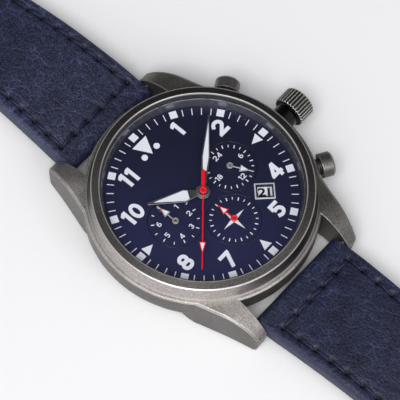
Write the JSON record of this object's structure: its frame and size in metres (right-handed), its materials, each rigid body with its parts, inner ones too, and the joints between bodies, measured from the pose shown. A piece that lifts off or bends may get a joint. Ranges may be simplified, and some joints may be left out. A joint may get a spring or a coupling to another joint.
{
  "type": "pilot watch",
  "caption": "Round pilot's wristwatch with ribbed crown, two pushers, three sub-dials, date window and a two-piece leather strap with buckle, laid open on its back.",
  "frame": {"origin": "centre of the flat case back", "axes": "+X towards the crown, +Y towards 12 o'clock, +Z out of the dial"},
  "size_m": [0.0479, 0.2516, 0.0128],
  "materials": {
    "blasted_steel": "bead-blasted, worn bright on the edges",
    "bezel_steel": "dark blasted steel with bright edge lines",
    "steel": "satin",
    "dark_steel": "dark blasted",
    "brass": "satin gilt",
    "plated_brass": "grained nickel plating",
    "sapphire": "polished",
    "seal_rubber": "matt",
    "holder_plastic": "matt",
    "dial_navy": "matt lacquer",
    "rehaut_black": "satin lacquer",
    "white_print": "matt print",
    "lume": "matt luminous paint",
    "silver_frame": "polished",
    "date_white": "matt",
    "hand_grey": "satin dark",
    "hand_red": "gloss lacquer",
    "strap_leather": "matt waxed, lightly creased"
  },
  "bodies": {
    "case": {"mid_case": "blasted_steel", "bezel": "bezel_steel", "crystal": "sapphire", "case_gaskets": "seal_rubber", "rehaut_ring": "rehaut_black", "case_back": "steel", "movement_holder": "holder_plastic", "case_tubes": "dark_steel", "dial": "dial_navy", "date_window_frame": "silver_frame", "dial_markers": "lume", "dial_printing": "white_print", "main_plate": "plated_brass", "train_bridge": "plated_brass", "balance_cock": "plated_brass", "movement_screws": "steel", "upper_spring_bar": "steel", "lower_spring_bar": "steel"},
    "minute_works": {"centre_wheel": "brass", "cannon_pinion": "steel", "minute_hand": "hand_grey", "minute_inlay": "lume"},
    "hour_works": {"hour_wheel": "brass", "hour_hand": "hand_grey", "hour_inlay": "lume"},
    "seconds_works": {"fourth_wheel": "brass", "seconds_hand": "hand_red"},
    "weekday_works": {"weekday_star": "steel", "weekday_hand": "hand_grey"},
    "day_works": {"day_wheel": "brass", "day_hand": "hand_grey"},
    "zone_works": {"zone_wheel": "brass", "zone_hand": "hand_red"},
    "date_works": {"date_disc": "date_white"},
    "minute_wheel_works": {"minute_wheel": "brass"},
    "idler_works": {"subdial_idler": "brass"},
    "driver_works": {"calendar_driver": "brass"},
    "third_works": {"third_wheel": "brass"},
    "escape_works": {"escape_wheel": "steel"},
    "barrel_works": {"barrel": "brass"},
    "pallet_works": {"pallet_fork": "steel"},
    "balance_works": {"balance_wheel": "brass", "hairspring": "steel"},
    "rotor_works": {"rotor": "steel"},
    "crown_seal": {"crown_gasket": "seal_rubber"},
    "crown_works": {"crown": "dark_steel", "winding_stem": "steel"},
    "upper_pusher_works": {"upper_pusher": "blasted_steel", "upper_pusher_spring": "steel"},
    "lower_pusher_works": {"lower_pusher": "blasted_steel", "lower_pusher_spring": "steel"},
    "upper_bar_tip": {"upper_spring_bar_tip": "steel"},
    "lower_bar_tip": {"lower_spring_bar_tip": "steel"},
    "strap_upper": {"strap_short": "strap_leather", "fixed_keeper": "strap_leather", "buckle_bar": "steel"},
    "strap_lower": {"strap_long": "strap_leather"},
    "keeper_slider": {"free_keeper": "strap_leather"},
    "buckle": {"buckle_frame": "blasted_steel"},
    "tongue": {"buckle_tongue": "blasted_steel"}
  },
  "joints": [
    {"name": "minute_turn", "type": "hinge", "parent": "case", "child": "minute_works", "pos_m": [0, 0, 0.0102], "axis": [0, 0, 1], "continuous": true},
    {"name": "hour_turn", "type": "hinge", "parent": "case", "child": "hour_works", "pos_m": [0, 0, 0.0098], "axis": [0, 0, 1], "continuous": true},
    {"name": "seconds_turn", "type": "hinge", "parent": "case", "child": "seconds_works", "pos_m": [0, 0, 0.0106], "axis": [0, 0, 1], "continuous": true},
    {"name": "weekday_turn", "type": "hinge", "parent": "case", "child": "weekday_works", "pos_m": [-0.0072, 0, 0.0093], "axis": [0, 0, 1], "continuous": true},
    {"name": "day_turn", "type": "hinge", "parent": "case", "child": "day_works", "pos_m": [0.0072, 0, 0.0093], "axis": [0, 0, 1], "continuous": true},
    {"name": "zone_turn", "type": "hinge", "parent": "case", "child": "zone_works", "pos_m": [0, -0.0072, 0.0093], "axis": [0, 0, 1], "continuous": true},
    {"name": "date_turn", "type": "hinge", "parent": "case", "child": "date_works", "pos_m": [0, 0, 0.0083], "axis": [0, 0, 1], "continuous": true},
    {"name": "minute_wheel_turn", "type": "hinge", "parent": "case", "child": "minute_wheel_works", "pos_m": [0.00104, 0.00285, 0.0078], "axis": [0, 0, 1], "continuous": true},
    {"name": "idler_turn", "type": "hinge", "parent": "case", "child": "idler_works", "pos_m": [0.0036, -0.0036, 0.0078], "axis": [0, 0, 1], "continuous": true},
    {"name": "driver_turn", "type": "hinge", "parent": "case", "child": "driver_works", "pos_m": [-0.00514, 0.00514, 0.008], "axis": [0, 0, 1], "continuous": true},
    {"name": "third_turn", "type": "hinge", "parent": "case", "child": "third_works", "pos_m": [-0.00423, 0.00154, 0.0041], "axis": [0, 0, 1], "continuous": true},
    {"name": "escape_turn", "type": "hinge", "parent": "case", "child": "escape_works", "pos_m": [-0.0022, -0.00381, 0.0048], "axis": [0, 0, 1], "continuous": true},
    {"name": "barrel_turn", "type": "hinge", "parent": "case", "child": "barrel_works", "pos_m": [0.00288, 0.00499, 0.0049], "axis": [0, 0, 1], "continuous": true},
    {"name": "rotor_turn", "type": "hinge", "parent": "case", "child": "rotor_works", "pos_m": [0, 0, 0.0019], "axis": [0, 0, 1], "continuous": true},
    {"name": "pallet_rock", "type": "hinge", "parent": "case", "child": "pallet_works", "pos_m": [-0.0021, -0.00671, 0.0048], "axis": [0, 0, 1], "range_deg": [-6, 6]},
    {"name": "balance_swing", "type": "hinge", "parent": "case", "child": "balance_works", "pos_m": [-0.00198, -0.01001, 0.004], "axis": [0, 0, 1], "range_deg": [-270, 270], "deforming": ["hairspring"]},
    {"name": "crown_pull", "type": "slide", "parent": "case", "child": "crown_seal", "axis": [1, 0, 0], "range_m": [0, 0.0016]},
    {"name": "crown_turn", "type": "hinge", "parent": "crown_seal", "child": "crown_works", "pos_m": [0.025, 0, 0.0063], "axis": [1, 0, 0], "continuous": true},
    {"name": "upper_pusher_press", "type": "slide", "parent": "case", "child": "upper_pusher_works", "axis": [0.866, 0.5, 0], "range_m": [-0.0007, 0], "stiffness_N_per_m": 800, "springref_m": 0.0007, "deforming": ["upper_pusher_spring"]},
    {"name": "lower_pusher_press", "type": "slide", "parent": "case", "child": "lower_pusher_works", "axis": [0.866, -0.5, 0], "range_m": [-0.0007, 0], "stiffness_N_per_m": 800, "springref_m": 0.0007, "deforming": ["lower_pusher_spring"]},
    {"name": "upper_bar_tip_press", "type": "slide", "parent": "case", "child": "upper_bar_tip", "axis": [1, 0, 0], "range_m": [-0.0011, 0], "stiffness_N_per_m": 800, "springref_m": 0.0005},
    {"name": "lower_bar_tip_press", "type": "slide", "parent": "case", "child": "lower_bar_tip", "axis": [1, 0, 0], "range_m": [-0.0011, 0], "stiffness_N_per_m": 800, "springref_m": 0.0005},
    {"name": "upper_strap_swing", "type": "hinge", "parent": "case", "child": "strap_upper", "pos_m": [0, 0.023, 0.00425], "axis": [1, 0, 0], "range_deg": [-85, 40]},
    {"name": "lower_strap_swing", "type": "hinge", "parent": "case", "child": "strap_lower", "pos_m": [0, -0.023, 0.00425], "axis": [1, 0, 0], "range_deg": [-40, 85]},
    {"name": "free_keeper_slide", "type": "slide", "parent": "strap_upper", "child": "keeper_slider", "axis": [0, 1, 0], "range_m": [-0.006, 0.006]},
    {"name": "buckle_swing", "type": "hinge", "parent": "strap_upper", "child": "buckle", "pos_m": [0, 0.098, 0.0027], "axis": [1, 0, 0], "range_deg": [-60, 65]},
    {"name": "tongue_swing", "type": "hinge", "parent": "buckle", "child": "tongue", "pos_m": [0, 0.098, 0.0027], "axis": [1, 0, 0], "range_deg": [0, 40]}
  ],
  "couplings": [
    {"joint": "hour_turn", "follows": "minute_turn", "ratio": 0.083333},
    {"joint": "seconds_turn", "follows": "minute_turn", "ratio": 60},
    {"joint": "weekday_turn", "follows": "minute_turn", "ratio": 0.0059524},
    {"joint": "day_turn", "follows": "minute_turn", "ratio": 0.041667},
    {"joint": "zone_turn", "follows": "minute_turn", "ratio": 0.083333},
    {"joint": "date_turn", "follows": "minute_turn", "ratio": -0.0013441},
    {"joint": "minute_wheel_turn", "follows": "minute_turn", "ratio": -0.33333},
    {"joint": "idler_turn", "follows": "minute_turn", "ratio": -0.075758},
    {"joint": "driver_turn", "follows": "minute_turn", "ratio": -0.041667},
    {"joint": "third_turn", "follows": "minute_turn", "ratio": -8},
    {"joint": "escape_turn", "follows": "minute_turn", "ratio": -600},
    {"joint": "barrel_turn", "follows": "minute_turn", "ratio": -0.14286}
  ]
}
